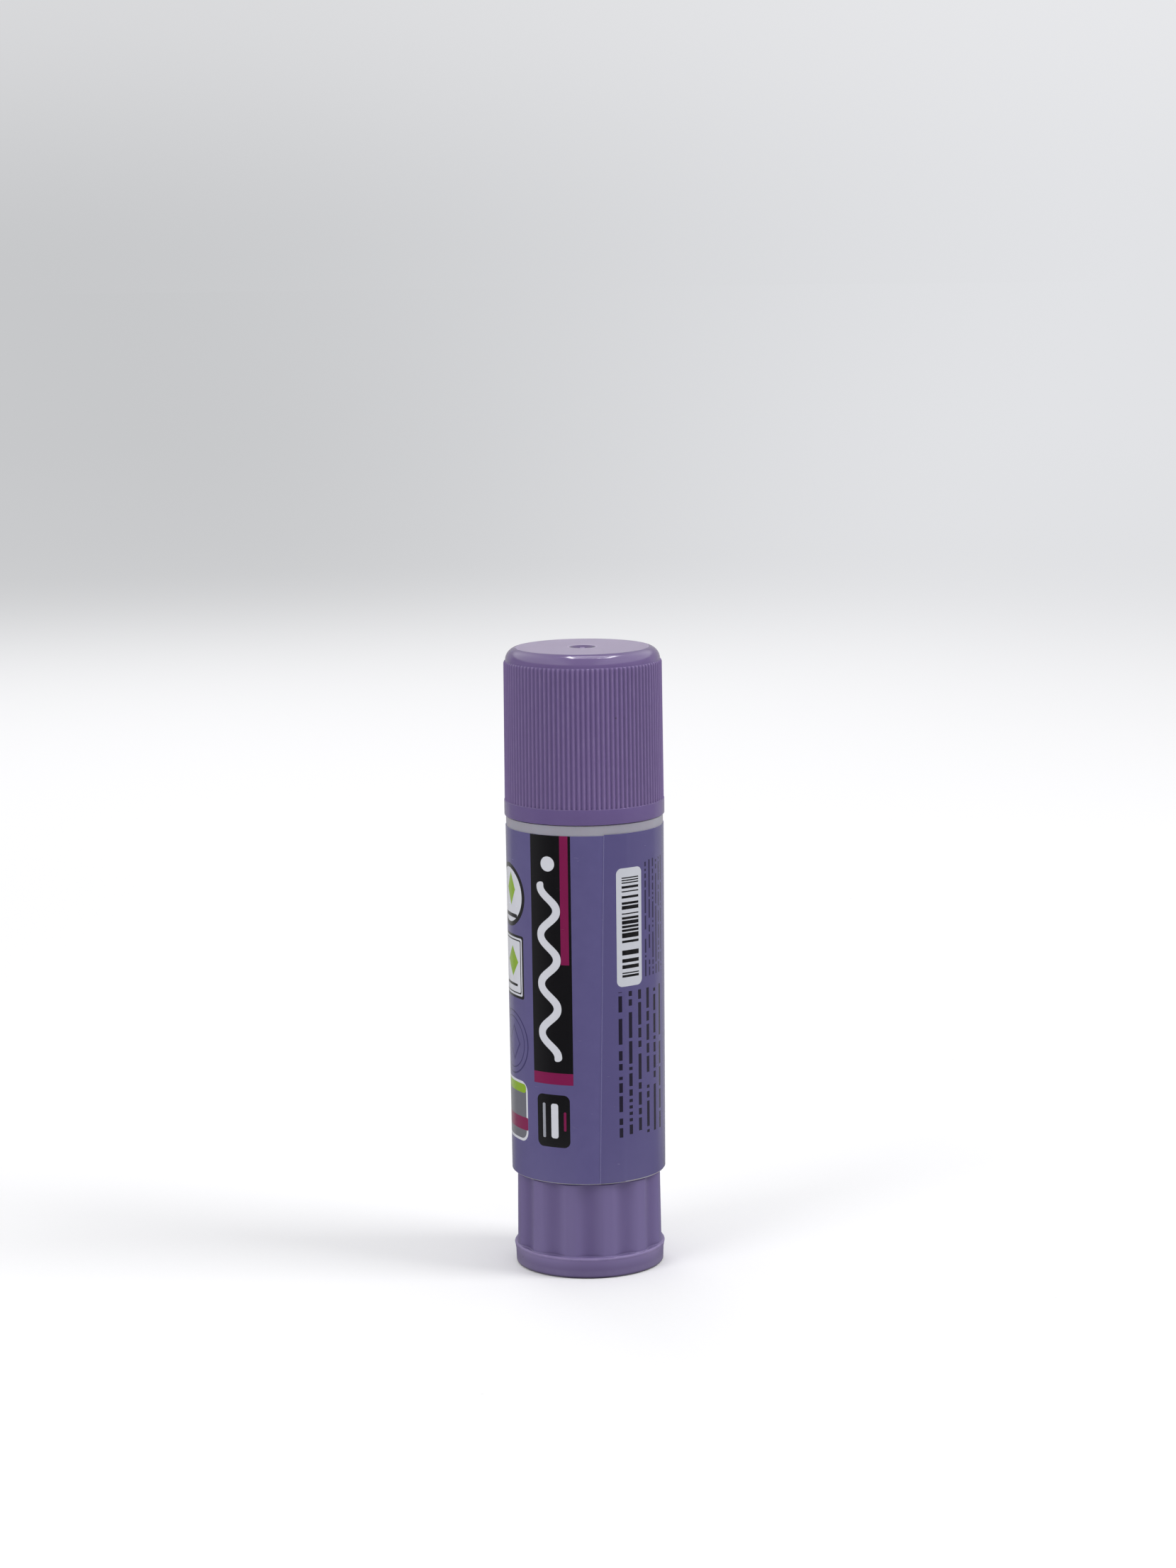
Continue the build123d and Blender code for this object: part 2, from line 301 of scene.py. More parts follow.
class Finish:
    """A material in the making: the places on the piece that its patterns follow, and its tone so far."""

    def __init__(self, name):
        self.material = bpy.data.materials.new(name)
        self.material.use_nodes = True
        self.tree = self.material.node_tree
        self.tree.nodes.clear()
        self.start = Socket(self.tree)
        self.tone = None
        self.place = self.start.node("ShaderNodeTexCoord", output="Object")
        self.x, self.y, self.z = (
            self.start.node("ShaderNodeSeparateXYZ", (), {0: self.place}, output=axis) for axis in "XYZ"
        )
        self.angle = self.start.math("ARCTAN2", self.x, -self.y)
        self.radius = self.start.math("SQRT", self.x * self.x + self.y * self.y)

    def speckle(self, scale, detail=2.0, roughness=0.5, along=1.0, around=1.0):
        """Soft noise from 0 to 1, scale bumps to a metre. Along and around under 1 draw it out into marks."""
        stretch = {0: self.place, 1: (around, around, along)}
        place = self.start.node("ShaderNodeVectorMath", {"operation": "MULTIPLY"}, stretch)
        inputs = {"Vector": place, "Scale": scale, "Detail": detail, "Roughness": roughness}
        return self.start.node("ShaderNodeTexNoise", (), inputs)

    def specks(self, cells, share, size):
        """Sparse dust, 1 on a speck: the cells to a metre, the share of them with a speck, and its size."""
        inputs = {"Vector": self.place, "Scale": cells, "Randomness": 1.0}
        distance, tone = (
            self.start.node("ShaderNodeTexVoronoi", {"feature": "F1"}, inputs, output=output)
            for output in ("Distance", "Color")
        )
        chosen = self.start.node("ShaderNodeSeparateColor", (), {0: tone}, output=0) < share
        return chosen * (1 - distance.rise(size * 0.6, size))

    def scratches(self, along, around, scale, level):
        """Fine hairlines that run one way: 1 where the noise is over a level, 0 elsewhere."""
        lines = self.speckle(scale, detail=3.0, roughness=0.6, along=along, around=around)
        return lines.rise(level, level + 0.03)

    def paint(self, tint, mask, share=1.0):
        """Lays a tint over the tone so far where the mask is 1, as fully as the share says."""
        self.tone = (mask * share).tint(self.tone, tint)

    def bump(self, height, distance):
        """A normal from a height that runs from 0 to 1, distance metres high."""
        inputs = {"Height": height, "Distance": distance}
        return self.start.node("ShaderNodeBump", (), inputs, output="Normal")

    def surface(self, rough, **more):
        """The Principled surface in the tone so far. Its other sockets have underscores for spaces."""
        inputs = {name.replace("_", " "): value for name, value in more.items()}
        inputs.update({"Base Color": self.tone, "Roughness": rough})
        shader = self.start.node("ShaderNodeBsdfPrincipled", (), inputs)
        self.start.node("ShaderNodeOutputMaterial", (), {"Surface": shader})
        return self.material


def arc(centre_radius, centre_level, radius, first, last, steps):
    """Points of radius and level on a circle's arc, from one angle in degrees to another."""
    turns = [radians(first + (last - first) * i / steps) for i in range(steps + 1)]
    return [(centre_radius + radius * cos(t), centre_level + radius * sin(t)) for t in turns]


def quarter(steps):
    """The angles of a quarter turn, with both its ends."""
    return [radians(90 * i / steps) for i in range(steps + 1)]


def even_levels(low, high, count):
    """Levels that divide the stretch between two levels, without the two ends."""
    return [low + (high - low) * i / count for i in range(1, count)]


def ring(count, level, radius_at):
    """The points of one ring, whose radius may change with the angle."""
    points = []
    for i in range(count):
        angle = tau * i / count
        radius = radius_at(angle)
        points.append(Vector((radius * sin(angle), -radius * cos(angle), level)))
    return points


def round_rings(outline, count):
    """A plain round ring for each point of radius and level."""
    return [ring(count, level, lambda angle: radius) for radius, level in outline]


def tip(level):
    """A ring shrunk to a point on the axis, which closes a skin."""
    return [[Vector((0, 0, level))]]


def skin(name, rings, more=None):
    """A closed mesh through rings of points. A ring may have several times as many points as the next one."""
    mesh = bmesh.new()
    loops = [[mesh.verts.new(point) for point in points] for points in rings]
    for low, high in zip(loops, loops[1:]):
        many, few = (low, high) if len(low) >= len(high) else (high, low)
        share = len(many) // len(few) if len(few) > 1 else 1
        for i in range(len(many) // share):
            run = [many[(i * share + k) % len(many)] for k in range(share + 1)]
            far = [few[0]] if len(few) == 1 else [few[(i + 1) % len(few)], few[i]]
            mesh.faces.new(run + far)
    if more:
        more(mesh)
    return finish_mesh(name, mesh)


def finish_mesh(name, mesh):
    """Turns a bmesh into an object with smooth faces, and sharp edges where the surface really turns."""
    bmesh.ops.recalc_face_normals(mesh, faces=mesh.faces)
    data = bpy.data.meshes.new(name)
    mesh.to_mesh(data)
    mesh.free()
    data.shade_smooth()
    data.set_sharp_from_angle(angle=sharp_angle)
    piece = bpy.data.objects.new(name, data)
    bpy.context.scene.collection.objects.link(piece)
    return piece


def rib_form(angle):
    """How far a rib stands out at an angle: 0 in the groove, 1 on the crest, broad and round on top."""
    swing = 0.5 + 0.5 * cos(angle * rib_count)
    return swing ** rib_fullness


def ribbed_ring(level, rib_share, out=0.0):
    """A ring of the cap's side, its ribs standing out by a share of their full height."""
    root_radius = rib_root_radius - cap_draft * (level - cap_foot) / (cap_top - cap_foot) + out
    return ring(cap_samples, level, lambda angle: root_radius + rib_share * rib_height * rib_form(angle))


def cap_side_rings():
    """The cap from its foot to the start of its shoulder: band, ledge and ribs with rounded tips."""
    band = arc(band_radius - band_foot_round, cap_foot + band_foot_round, band_foot_round, -90, 0, 4)
    band += arc(band_radius - band_edge_round, band_top - band_edge_round, band_edge_round, 0, 90, 4)
    rings = round_rings(band, cap_samples)
    for turn in quarter(4):
        out = groove_foot_round * (1 - sin(turn)) / 3
        rings.append(ribbed_ring(band_top + groove_foot_round * (1 - cos(turn)), 1.0, out))
    rib_top = shoulder_foot - rib_tip_gap
    for level in even_levels(band_top + groove_foot_round, rib_top - rib_tip_length, 3):
        rings.append(ribbed_ring(level, 1.0))
    for turn in quarter(8):
        rings.append(ribbed_ring(rib_top - rib_tip_length * (1 - sin(turn)), cos(turn)))
    return rings


def cap_inside():
    """The outline of the cap's inside: from the ceiling round the sealing ring and down to the open end."""
    inner_radius, ring_foot = seal_ring_radius - seal_ring_wall, cap_ceiling - seal_ring_length
    outline = [(inner_radius, cap_ceiling)]
    outline += [(inner_radius, ring_foot + seal_ring_chamfer)]
    outline += [(inner_radius + seal_ring_chamfer, ring_foot)]
    outline += [(seal_ring_radius - seal_ring_chamfer, ring_foot)]
    outline += [(seal_ring_radius, ring_foot + seal_ring_chamfer)]
    outline += [(seal_ring_radius, cap_ceiling)]
    corner_radius, corner_level = cap_bore_radius - cap_ceiling_round, cap_ceiling - cap_ceiling_round
    outline += arc(corner_radius, corner_level, cap_ceiling_round, 90, 0, 5)
    outline += [(cap_bore_radius, cap_foot + cap_lead_in)]
    outline += [(cap_bore_radius + cap_lead_in / 2, cap_foot)]
    return outline


def cap_top_rings():
    """The flat top from near its rim inwards: the dimple's soft lip, its hollow and the gate nub."""
    sphere = (dimple_radius**2 + dimple_depth**2) / (2 * dimple_depth)
    outline = [(flat_radius - flat_rim_inner, cap_top), (dimple_radius + 3 * dimple_lip, cap_top)]
    outline += [(dimple_radius + dimple_lip, cap_top - dimple_lip_drop)]
    outline += [(dimple_radius, cap_top - dimple_edge_drop)]
    for i in range(1, 9):
        radius = dimple_radius + (nub_radius + nub_flare - dimple_radius) * i / 8
        outline.append((radius, cap_top - dimple_depth + sphere - sqrt(sphere**2 - radius**2)))
    nub_foot = outline[-1][1]
    nub_top = nub_foot + nub_height
    outline += [(nub_radius, nub_foot + nub_flare_height), (nub_radius - nub_draft, nub_top - nub_chamfer)]
    outline += [(nub_radius - nub_chamfer, nub_top), (nub_radius / 2, nub_top - nub_dish)]
    return round_rings(outline, plain_samples) + tip(nub_top - nub_dish_middle)


def build_cap():
    """The cap: bore and sealing ring, band, ribs, shoulder, and the dimple with its gate nub."""
    shoulder = arc(flat_radius, shoulder_foot, shoulder_round, 0, 90, 18)
    shoulder += [(flat_radius - flat_rim, cap_top)]
    rings = tip(cap_ceiling) + round_rings(cap_inside(), plain_samples)
    rings += cap_side_rings() + round_rings(shoulder, cap_samples) + cap_top_rings()
    piece = skin("cap_shell", rings)
    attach(piece, "cap")
    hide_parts("cap")
    return piece


def soft_least(first, second, soft):
    """The smaller of two lengths, with the corner between them rounded."""
    blend = max(soft - abs(first - second), 0.0) / soft
    return min(first, second) - blend * blend * soft / 4


def fluted(land_radius, angle):
    """The grip's radius at an angle, with a flute facing the front."""
    pitch = tau / flute_count
    off = (angle + pitch / 2) % pitch - pitch / 2
    axis_radius = land_radius - flute_depth + flute_radius
    reach = flute_radius**2 - (axis_radius * sin(off)) ** 2
    flute = axis_radius * cos(off) - sqrt(reach) if reach > 0 else land_radius + flute_depth
    return soft_least(land_radius, flute, flute_softness)


def land_radius_at(level):
    """The radius of the grip's lands at a level, which is a number or a socket."""
    up = (level - grip_foot) / (grip_top - grip_foot)
    return grip_foot_radius + up * (grip_top_radius - grip_foot_radius)


def fluted_ring(level, land_radius, out=0.0):
    """A ring of the grip, out further by a fillet's width."""
    return ring(base_samples, level, lambda angle: fluted(land_radius, angle) + out)


def hexagon(angle):
    """The radius of the spindle plug's six-sided hole at an angle."""
    return boss_bore_flat / cos((angle + pi / 6) % (pi / 3) - pi / 6)


def webs(mesh):
    """Thin upright webs that brace the boss inside the base."""
    low, high = boss_radius - web_thickness / 4, base_inner_radius + web_thickness / 4
    for i in range(web_count):
        size = Matrix.Diagonal((high - low, web_thickness, web_top - base_floor, 1))
        place = Matrix.Translation(((low + high) / 2, 0, (web_top + base_floor) / 2))
        turn = Matrix.Rotation(tau * i / web_count, 4, "Z")
        bmesh.ops.create_cube(mesh, size=1, matrix=turn @ place @ size)


def base_foot_outline():
    """The underside's gate dimple and recess, the rounded foot, the waist and the flange's lip."""
    outline = [(gate_radius - gate_edge, recess_depth + gate_depth)]
    outline += [(gate_radius, recess_depth + gate_edge_height), (gate_radius + gate_edge, recess_depth)]
    outline += [(recess_radius - recess_corner, recess_depth), (recess_radius, recess_depth - recess_corner)]
    outline += [(recess_radius, recess_chamfer), (recess_radius + recess_chamfer, 0.0)]
    outline += arc(base_foot_radius - base_foot_round, base_foot_round, base_foot_round, -90, 0, 8)
    outline += [(waist_radius, waist_level)]
    outline += arc(lip_radius - lip_round, grip_foot - lip_round, lip_round, -30, 90, 12)
    return outline


def grip_rings():
    """The fluted grip, from the fillet at its foot to its chamfered top."""
    rings = []
    for turn in quarter(6):
        level = grip_foot + grip_fillet * (1 - cos(turn))
        rings.append(fluted_ring(level, grip_foot_radius, grip_fillet * (1 - sin(turn)) * grip_fillet_width))
    for level in even_levels(grip_foot + grip_fillet, grip_top - grip_fillet, 6):
        rings.append(fluted_ring(level, land_radius_at(level)))
    rings.append(fluted_ring(grip_top - grip_top_chamfer, grip_top_radius))
    rings.append(fluted_ring(grip_top, grip_top_radius - grip_top_chamfer))
    return rings


def build_knob():
    """The turning base: recessed foot, lipped flange, fluted grip, spigot and hollow inside."""
    inside = [(spigot_radius, grip_top), (spigot_radius, spigot_top - spigot_chamfer)]
    inside += [(spigot_radius - spigot_chamfer, spigot_top), (base_inner_radius, spigot_top)]
    inside += [(base_inner_radius, base_floor), (boss_radius, base_floor), (boss_radius, boss_top)]
    rings = tip(recess_depth + gate_depth) + round_rings(base_foot_outline(), base_samples)
    rings += grip_rings() + round_rings(inside, base_samples)
    rings += [ring(base_samples, level, hexagon) for level in (boss_top, plug_seat)]
    rings += tip(plug_seat)
    piece = skin("turning_base", rings, webs)
    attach(piece, "knob")
    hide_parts("knob")
    return piece


def film_point(turned, up, layer):
    """A point of the film. Turned is its angle from the hidden end, and up its share of the height.

    Layer is 0 on the side of the barrel and 1 on the printed side.
    """
    slant = seam_slant * (up - 0.5) / film_foot_radius
    angle = seam_angle + film_lap - turned + slant * turned / film_turn
    over = min(max((turned - (tau - film_ramp)) / film_ramp, 0.0), 1.0)
    over = over * over * (3 - 2 * over)
    radius = film_foot_radius + (film_top_radius - film_foot_radius) * up
    radius += (over + layer) * film_thickness + over * film_gap / 3
    skew = film_foot_skew + (film_skew - film_foot_skew) * up
    level = label_foot + (label_top - label_foot - film_skew) * up + skew * turned / film_turn
    place = Vector((cos(angle) * film_waves_round, sin(angle) * film_waves_round, level * film_waves_up))
    radius += film_wave * noise.noise(place) * min(up, 1 - up) * 4
    return Vector((radius * sin(angle), -radius * cos(angle), level))


def film_sheet(mesh, layer):
    """The points of one side of the film, in columns that run up it."""
    columns = []
    for i in range(film_columns + 1):
        turned = film_turn * i / film_columns
        points = [film_point(turned, j / film_rows, layer) for j in range(film_rows + 1)]
        columns.append([mesh.verts.new(point) for point in points])
    return columns


def build_label():
    """The film wrapped once round the barrel, its end lapped over its start, with cut edges all round."""
    mesh = bmesh.new()
    inner, outer = film_sheet(mesh, 0), film_sheet(mesh, 1)
    for sheet in (inner, outer):
        for i in range(film_columns):
            for j in range(film_rows):
                mesh.faces.new((sheet[i][j], sheet[i + 1][j], sheet[i + 1][j + 1], sheet[i][j + 1]))
    edges = []
    for i in range(film_columns):
        for j in (0, film_rows):
            edges.append((inner[i][j], inner[i + 1][j], outer[i + 1][j], outer[i][j]))
    for j in range(film_rows):
        for i in (0, film_columns):
            edges.append((inner[i][j], inner[i][j + 1], outer[i][j + 1], outer[i][j]))
    for corners in edges:
        mesh.faces.new(corners).material_index = 1
    piece = finish_mesh("label_film", mesh)
    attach(piece, "barrel")
    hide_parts("label")
    return piece


def glue_radius_at(level):
    """The glue's side with the slots that the barrel's guide ribs leave, and the ripple of its casting."""

    def at(angle):
        pitch = tau / slot_count
        off = (angle - slot_angle + pitch / 2) % pitch - pitch / 2
        edge = (slot_width / 2 - abs(off) * glue_radius) / slot_softness
        cut = slot_depth * min(max(edge + 0.5, 0.0), 1.0)
        place = Vector((cos(angle) * glue_waves_round, sin(angle) * glue_waves_round, level * glue_waves_up))
        return glue_radius - glue_shrinkage - cut - glue_wave * abs(noise.noise(place))

    return at


def glue_top_rings(side):
    """The rim's soft edge, and the uneven top that sank as it set. Side gives the radius at an angle."""
    side_top = glue_top - glue_edge_round
    rings = []
    for turn in quarter(8)[1:]:
        inset = glue_edge_round * (1 - cos(turn))
        level = side_top + glue_edge_round * sin(turn)
        rings.append(ring(glue_samples, level, lambda angle: side(angle) - inset))
    for i in range(1, 12):
        share = i / 12
        top_ring = ring(glue_samples, glue_top, lambda angle: (side(angle) - glue_edge_round) * (1 - share))
        for point in top_ring:
            uneven = glue_sink_share + glue_unevenness * noise.noise(point * glue_top_waves)
            point.z -= glue_sink * (1 - (1 - share) ** 4) * uneven
        rings.append(top_ring)
    return rings + tip(glue_top - glue_sink * glue_sink_share)


def build_glue():
    """The stick of glue: cast in the carrier's cup and round its hub, its rim soft, its top sunk."""
    inside = [(screw_hole_radius, screw_hole_top), (screw_hole_radius, hub_top)]
    inside += [(hub_radius, hub_top), (hub_radius, glue_foot), (cup_radius, glue_foot), (cup_radius, cup_lip)]
    rings = tip(screw_hole_top) + round_rings(inside, glue_samples)
    side_top = glue_top - glue_edge_round
    levels = [cup_lip] + even_levels(cup_lip, side_top, 60) + [side_top]
    rings += [ring(glue_samples, level, glue_radius_at(level)) for level in levels]
    rings += glue_top_rings(glue_radius_at(side_top))
    piece = skin("glue_stick", rings)
    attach(piece, "carrier")
    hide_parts("glue")
    return piece


def paint_cap_top(made, on_top, in_dimple):
    """The eroded matt flat painted pale, the dimple's hollow painted dark, and pale rings on the dimple's lip
    and the gate nub's rim: a painted sheen, painted shade and painted highlights.
    """
    # Painted sheen: the matt flat is painted pale for the light it catches from above.
    made.paint(colour(161, 152, 171), on_top * (1 - in_dimple), share=0.75)
    in_hollow = in_dimple * made.z.rise(cap_top - 0.6 * mm, cap_top - 0.55 * mm)
    # Painted shade: the dimple's hollow is painted dark.
    made.paint(colour(86, 66, 112), in_hollow, share=0.8)
    # Painted highlight: a pale ring round the gate nub's rim.
    nub_rim = made.radius.within(0.28 * mm, 0.5 * mm, 0.12 * mm) * in_hollow
    made.paint(colour(176, 162, 194), nub_rim, share=0.7)
    # Painted highlight: a pale ring along the dimple's lip.
    dimple_edge = made.radius.within(dimple_radius - 0.1 * mm, dimple_radius + 0.2 * mm, 0.1 * mm) * on_top
    made.paint(colour(180, 170, 194), dimple_edge, share=0.5)
    return in_hollow


def cap_finish():
    """Dyed polypropylene: an eroded matt top, a polished shoulder, satin ribs with rubbed crests. Painted
    light and shade: the top, the shoulder and the rib crests are painted lighter, the dimple darker.
    """
    made = Finish("violet_cap_plastic")
    on_flat = 1 - made.radius.rise(flat_radius + 0.1 * mm, flat_radius + 0.5 * mm)
    on_top = made.z.rise(cap_top - 0.12 * mm, cap_top - 0.04 * mm) * on_flat
    in_dimple = 1 - made.radius.rise(dimple_radius - 0.1 * mm, dimple_radius)
    matt = on_top * (1 - in_dimple)
    on_shoulder = made.z.rise(shoulder_foot - 0.1 * mm, shoulder_foot + 0.2 * mm) * (1 - matt)
    outside = made.radius.rise(cap_bore_radius + 0.2 * mm, cap_bore_radius + 0.4 * mm)
    on_ribs = made.z.within(band_top, shoulder_foot, 0.2 * mm) * outside
    on_band = 1 - made.z.rise(band_top - 0.1 * mm, band_top)
    crest = (made.angle * rib_count).wave() * 0.5 + 0.5

    flow = made.speckle(scale=260, detail=3.0, along=0.35)
    made.tone = flow.tint(colour(96, 80, 126), colour(103, 87, 133))
    # Painted light: the shoulder, which faces up, is painted lighter than the side.
    made.paint(colour(110, 92, 134), on_shoulder, share=0.5)
    # Painted light and shade: the rib crests are painted lighter than the grooves between them.
    made.paint(colour(120, 100, 146), on_ribs * crest, share=0.75)
    rubbed = on_ribs * crest ** 3 * made.speckle(scale=700, detail=3.0).rise(0.35, 0.8)
    made.paint(colour(134, 118, 158), rubbed, share=0.35)
    in_hollow = paint_cap_top(made, on_top, in_dimple)
    dust = made.specks(cells=420, share=0.05, size=0.09)
    made.paint(colour(58, 48, 66), dust, share=0.55)

    hairlines = made.scratches(along=0.08, around=1.0, scale=2600, level=0.66)
    rough = 0.36 + made.speckle(scale=1400) * 0.06 + matt * 0.12
    rough = rough - (on_shoulder + in_hollow) * 0.26 - on_band * 0.18 + hairlines * 0.05 + dust * 0.2
    height = made.speckle(scale=9000) * (0.25 + matt * 0.75) + flow * 0.5 + hairlines * 0.15
    return made.surface(rough, Normal=made.bump(height, plastic_grain), IOR=plastic_ior)


def paint_flange(made):
    """The flange below the grip, with painted light and shade: painted lighter, darker low down, a painted
    shadow at its foot, and a lip with painted highlights on its top and along its edge, broken up like rubbed
    wear.
    """
    # Painted light: the flange is painted lighter than the grip.
    flange = 1 - made.z.rise(grip_foot - 0.6 * mm, grip_foot - 0.2 * mm)
    made.paint(colour(121, 107, 151), flange, share=0.8)
    # Painted shade: the flange is painted darker low down, towards the table.
    made.paint(colour(84, 72, 112), flange * (1 - made.z.rise(1.2 * mm, 2.9 * mm)), share=0.6)
    # Painted shadow: a dark band round the foot, where the base meets the table.
    at_foot = made.radius.rise(recess_radius, base_foot_radius - 0.3 * mm)
    made.paint(colour(40, 33, 50), (1 - made.z.rise(0.12 * mm, 0.5 * mm)) * at_foot, share=0.85)
    # Painted highlight on the top of the flange's lip.
    lip_top = made.z.within(grip_foot - 0.35 * mm, grip_foot + 0.03 * mm, 0.1 * mm)
    lip_top = lip_top * made.radius.rise(lip_radius - 0.9 * mm, lip_radius - 0.3 * mm)
    made.paint(colour(148, 134, 176), lip_top, share=0.5)
    # Painted highlight along the lip's edge, broken up like rubbed wear.
    lip_edge = made.z.within(grip_foot - 0.45 * mm, grip_foot + 0.05 * mm, 0.2 * mm)
    lip_edge = lip_edge * made.radius.rise(lip_radius - 0.3 * mm, lip_radius)
    rubbed = lip_edge * made.speckle(scale=800, detail=3.0).rise(0.3, 0.75)
    made.paint(colour(140, 124, 165), rubbed, share=0.5)


def knob_finish():
    """The same dyed plastic, satin, with flow marks up the grip. Painted light and shade: lighter lands, a
    darker corner, and a lip with painted highlights broken up like rubbed wear.
    """
    made = Finish("violet_base_plastic")
    flow = made.speckle(scale=300, detail=3.0, along=0.25)
    made.tone = flow.tint(colour(90, 77, 122), colour(97, 84, 129))
    in_grip = made.z.within(grip_foot, grip_top, 0.1 * mm)
    # Painted highlight: the lands are painted lighter than the flutes between them.
    land = in_grip * (made.radius - land_radius_at(made.z)).rise(-0.75 * mm, 0.0)
    made.paint(colour(110, 98, 142), land, share=0.8)
    paint_flange(made)
    # Painted shade in the corner where the grip meets the flange.
    corner = made.z.within(grip_foot - 0.02 * mm, grip_foot + 0.35 * mm, 0.2 * mm)
    corner = corner * (1 - made.radius.rise(lip_radius - 0.45 * mm, lip_radius - 0.2 * mm))
    made.paint(colour(70, 58, 92), corner, share=0.2)
    scuffed = made.z.within(0.5 * mm, 1.2 * mm, 0.5 * mm) * made.speckle(scale=1200, detail=3.0)
    made.paint(colour(134, 122, 156), scuffed, share=0.25)
    dust = made.specks(cells=380, share=0.06, size=0.08)
    made.paint(colour(60, 50, 70), dust, share=0.5)

    hairlines = made.scratches(along=1.0, around=0.15, scale=1800, level=0.66)
    rough = 0.33 + made.speckle(scale=1500) * 0.08 + hairlines * 0.06 + scuffed * 0.1
    height = made.speckle(scale=8000) * 0.4 + flow * 0.6 + hairlines * 0.1
    return made.surface(rough, Normal=made.bump(height, plastic_grain), IOR=plastic_ior)


def white_plastic_finish(name, light, dark):
    """Undyed polypropylene, milky and a little uneven, lighter in the thin neck above the cap's foot, with
    fine moulding marks. On the barrel the greyer tone below the neck is partly painted shade from the cap.
    """
    made = Finish(name)
    cloud = made.speckle(scale=220, detail=3.0, along=0.5)
    made.tone = cloud.tint(light, dark)
    # Lighter above the cap's foot; below it the barrel's greyer tones stand partly for painted shade under
    # the cap's edge.
    lighter_above_cap_foot = made.z.rise(cap_foot - 0.3 * mm, cap_foot + 1.5 * mm)
    made.paint(colour(212, 211, 216), lighter_above_cap_foot, share=0.85)
    dust = made.specks(cells=500, share=0.05, size=0.08)
    made.paint(colour(96, 92, 98), dust, share=0.5)
    hairlines = made.scratches(along=0.1, around=1.0, scale=2400, level=0.67)
    rough = 0.34 + cloud * 0.1 + hairlines * 0.08
    height = made.speckle(scale=7000) * 0.5 + hairlines * 0.3
    normal = made.bump(height, 0.003 * mm)
    return made.surface(
        rough, Normal=normal, IOR=plastic_ior, Subsurface_Weight=0.15, Subsurface_Scale=0.6 * mm
    )


def glue_finish():
    """Waxy glue tinted violet: a soft sheen, smeared drag marks, small pits and a paler dried film."""
    made = Finish("glue_wax")
    cloud = made.speckle(scale=180, detail=4.0)
    smears = made.speckle(scale=900, detail=3.0, roughness=0.6, along=0.12)
    pits = made.specks(cells=900, share=0.1, size=0.16)
    made.tone = cloud.tint(colour(168, 148, 196), colour(182, 164, 207))
    made.paint(colour(200, 188, 216), smears.rise(0.5, 0.75), share=0.5)
    made.paint(colour(140, 116, 172), pits, share=0.4)
    rough = 0.38 + smears * 0.22
    normal = made.bump(cloud * 0.4 + smears * 0.5 - pits * 0.5, 0.03 * mm)
    return made.surface(rough, Normal=normal, IOR=wax_ior, Subsurface_Weight=0.3, Subsurface_Scale=1.2 * mm)


class Print(Finish):
    """A finish with flat artwork in millimetres: across from a middle line, positive to the right, and up."""

    outline_softness = 0.05
    block_softness = 0.1
    dash_share = 0.8
    dash_stagger = 0.37
    dash_seed_step = 53

    def __init__(self, name):
        super().__init__(name)
        self.up = self.z / mm
        self.move_to(0.0)

    def move_to(self, middle):
        """Draws what follows round another middle line, so far to the right of the front."""
        half_round = pi * print_radius
        around = self.angle * print_radius - middle
        self.across = self.start.math("WRAP", around, half_round, -half_round)

    def ink(self, distance):
        """1 inside a shape, 0 outside, from the distance to its outline."""
        return 1 - distance.rise(-self.outline_softness / 2, self.outline_softness / 2)

    def fill(self, tint, distance):
        """Prints a shape, given by the distance to its outline."""
        self.paint(tint, self.ink(distance))

    def line(self, tint, distance, half_width):
        """Prints a line along a shape's outline."""
        self.fill(tint, abs(distance) - half_width)

    def box(self, left, right, foot, top, corner=0.0):
        """The distance to a rectangle with round corners."""
        half_width, half_height = (right - left) / 2 - corner, (top - foot) / 2 - corner
        out_x = abs(self.across - (left + right) / 2) - half_width
        out_y = abs(self.up - (foot + top) / 2) - half_height
        far_x, far_y = out_x.highest(0.0), out_y.highest(0.0)
        outside = self.start.math("SQRT", far_x * far_x + far_y * far_y)
        return outside + out_x.highest(out_y).lowest(0.0) - corner

    def disc(self, centre, level, radius):
        """The distance to a disc."""
        x, y = self.across - centre, self.up - level
        return self.start.math("SQRT", x * x + y * y) - radius

    def diamond(self, centre, level, half_width, half_height):
        """The distance to an upright diamond, near enough for print."""
        lean = abs(self.across - centre) / half_width + abs(self.up - level) / half_height
        return (lean - 1) * (half_width * half_height / hypot(half_width, half_height))

    def squiggle(self, centre, foot, top, swing, waves, width):
        """The distance to a wavy line of glue that runs up the label."""
        along = (self.up - foot) / (top - foot)
        turned = along * (waves * tau)
        off = abs(self.across - centre - turned.wave() * swing)
        slope = self.start.math("SINE", turned) * (swing * waves * tau / (top - foot))
        ends = (abs(self.up - (foot + top) / 2) - (top - foot) / 2).highest(0.0)
        return self.start.math("SQRT", off * off / (slope * slope + 1) + ends * ends) - width / 2

    def bars(self, foot, pitch, seed, share):
        """Bars of uneven width across the label, 1 on a bar."""
        step = ((self.up - foot) / pitch).floored()
        return step.dice(seed) < share

    def dashes(self, tint, lines, first, spacing, width, pitch, foot, top, seed):
        """Prints a block of upright lines of dashes of uneven length, in place of small print."""
        line = ((self.across - first) / spacing + 0.5).floored()
        off = ((self.across - first) / spacing - line) * spacing
        step = (self.up / pitch + line * self.dash_stagger).floored()
        dash = (step + line * self.dash_seed_step).dice(seed) < self.dash_share
        block = line.within(-0.5, lines - 0.5, self.block_softness)
        block = block * self.up.within(foot, top, self.block_softness)
        self.paint(tint, block * self.ink(abs(off) - width / 2) * dash)


